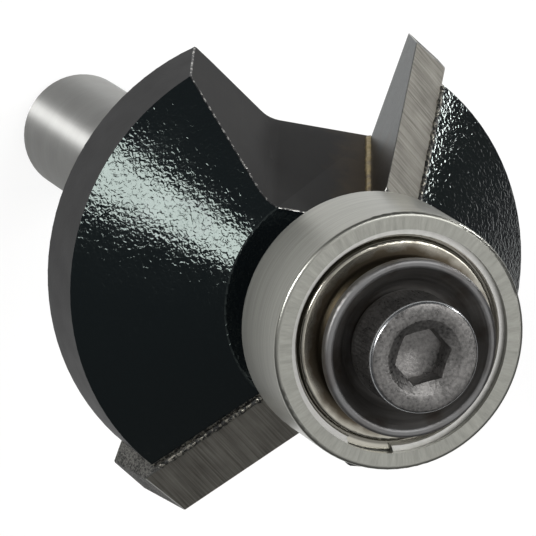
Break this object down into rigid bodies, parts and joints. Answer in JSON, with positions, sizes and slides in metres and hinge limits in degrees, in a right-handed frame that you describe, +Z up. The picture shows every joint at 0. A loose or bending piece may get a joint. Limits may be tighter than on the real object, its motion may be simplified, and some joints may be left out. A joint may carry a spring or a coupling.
{
  "type": "bevel router bit with guide bearing",
  "caption": "Bevel router bit: black head on a ground shank, brazed cutting tips facing slanted flutes, and a shielded guide bearing held by a dished washer and socket screw.",
  "frame": {"origin": "centre of the shank's flat end face", "axes": "+Z up the axis from the shank through the cutter head and bearing to the socket screw; +X through the outer cutting corner of tip A"},
  "size_m": [0.0264, 0.0238, 0.0537],
  "materials": {
    "body_paint": "black paint on the head, bare ground shank",
    "carbide": "ground",
    "braze": "as brazed",
    "bearing_steel": "brushed end faces, polished rim",
    "ball_steel": "polished",
    "cage_steel": "pressed sheet",
    "shield_bronze": "pressed sheet, bronze coloured",
    "bright_wire": "bright",
    "dark_oxide_steel": "dark oxide, worn on the edges"
  },
  "bodies": {
    "cutter": {"bit_body": "body_paint", "cutting_tip_a": "carbide", "cutting_tip_b": "carbide", "braze_seam_a": "braze", "braze_seam_b": "braze", "bearing_inner_ring": "bearing_steel", "dished_washer": "dark_oxide_steel", "cap_screw": "dark_oxide_steel"},
    "bearing_rim": {"bearing_outer_ring": "bearing_steel", "shield_front": "shield_bronze", "shield_back": "shield_bronze", "snap_ring_front": "bright_wire", "snap_ring_back": "bright_wire"},
    "ball_cage": {"cage_front": "cage_steel", "cage_back": "cage_steel", "cage_rivets": "cage_steel"},
    "ball_1": {"bearing_ball_1": "ball_steel"},
    "ball_2": {"bearing_ball_2": "ball_steel"},
    "ball_3": {"bearing_ball_3": "ball_steel"},
    "ball_4": {"bearing_ball_4": "ball_steel"},
    "ball_5": {"bearing_ball_5": "ball_steel"},
    "ball_6": {"bearing_ball_6": "ball_steel"},
    "ball_7": {"bearing_ball_7": "ball_steel"}
  },
  "joints": [
    {"name": "rim_spin", "type": "hinge", "parent": "cutter", "child": "bearing_rim", "pos_m": [0, 0, 0.04784], "axis": [0, 0, 1], "continuous": true},
    {"name": "cage_orbit", "type": "hinge", "parent": "cutter", "child": "ball_cage", "pos_m": [0, 0, 0.04784], "axis": [0, 0, 1], "continuous": true},
    {"name": "ball_1_spin", "type": "hinge", "parent": "ball_cage", "child": "ball_1", "pos_m": [0.00436, 0, 0.04784], "axis": [0, 0, 1], "continuous": true},
    {"name": "ball_2_spin", "type": "hinge", "parent": "ball_cage", "child": "ball_2", "pos_m": [0.00272, 0.00341, 0.04784], "axis": [0, 0, 1], "continuous": true},
    {"name": "ball_3_spin", "type": "hinge", "parent": "ball_cage", "child": "ball_3", "pos_m": [-0.00097, 0.00426, 0.04784], "axis": [0, 0, 1], "continuous": true},
    {"name": "ball_4_spin", "type": "hinge", "parent": "ball_cage", "child": "ball_4", "pos_m": [-0.00393, 0.00189, 0.04784], "axis": [0, 0, 1], "continuous": true},
    {"name": "ball_5_spin", "type": "hinge", "parent": "ball_cage", "child": "ball_5", "pos_m": [-0.00393, -0.00189, 0.04784], "axis": [0, 0, 1], "continuous": true},
    {"name": "ball_6_spin", "type": "hinge", "parent": "ball_cage", "child": "ball_6", "pos_m": [-0.00097, -0.00426, 0.04784], "axis": [0, 0, 1], "continuous": true},
    {"name": "ball_7_spin", "type": "hinge", "parent": "ball_cage", "child": "ball_7", "pos_m": [0.00272, -0.00341, 0.04784], "axis": [0, 0, 1], "continuous": true}
  ],
  "couplings": [
    {"joint": "cage_orbit", "follows": "rim_spin", "ratio": 0.63637},
    {"joint": "ball_1_spin", "follows": "rim_spin", "ratio": 1.6969},
    {"joint": "ball_2_spin", "follows": "rim_spin", "ratio": 1.6969},
    {"joint": "ball_3_spin", "follows": "rim_spin", "ratio": 1.6969},
    {"joint": "ball_4_spin", "follows": "rim_spin", "ratio": 1.6969},
    {"joint": "ball_5_spin", "follows": "rim_spin", "ratio": 1.6969},
    {"joint": "ball_6_spin", "follows": "rim_spin", "ratio": 1.6969},
    {"joint": "ball_7_spin", "follows": "rim_spin", "ratio": 1.6969}
  ]
}
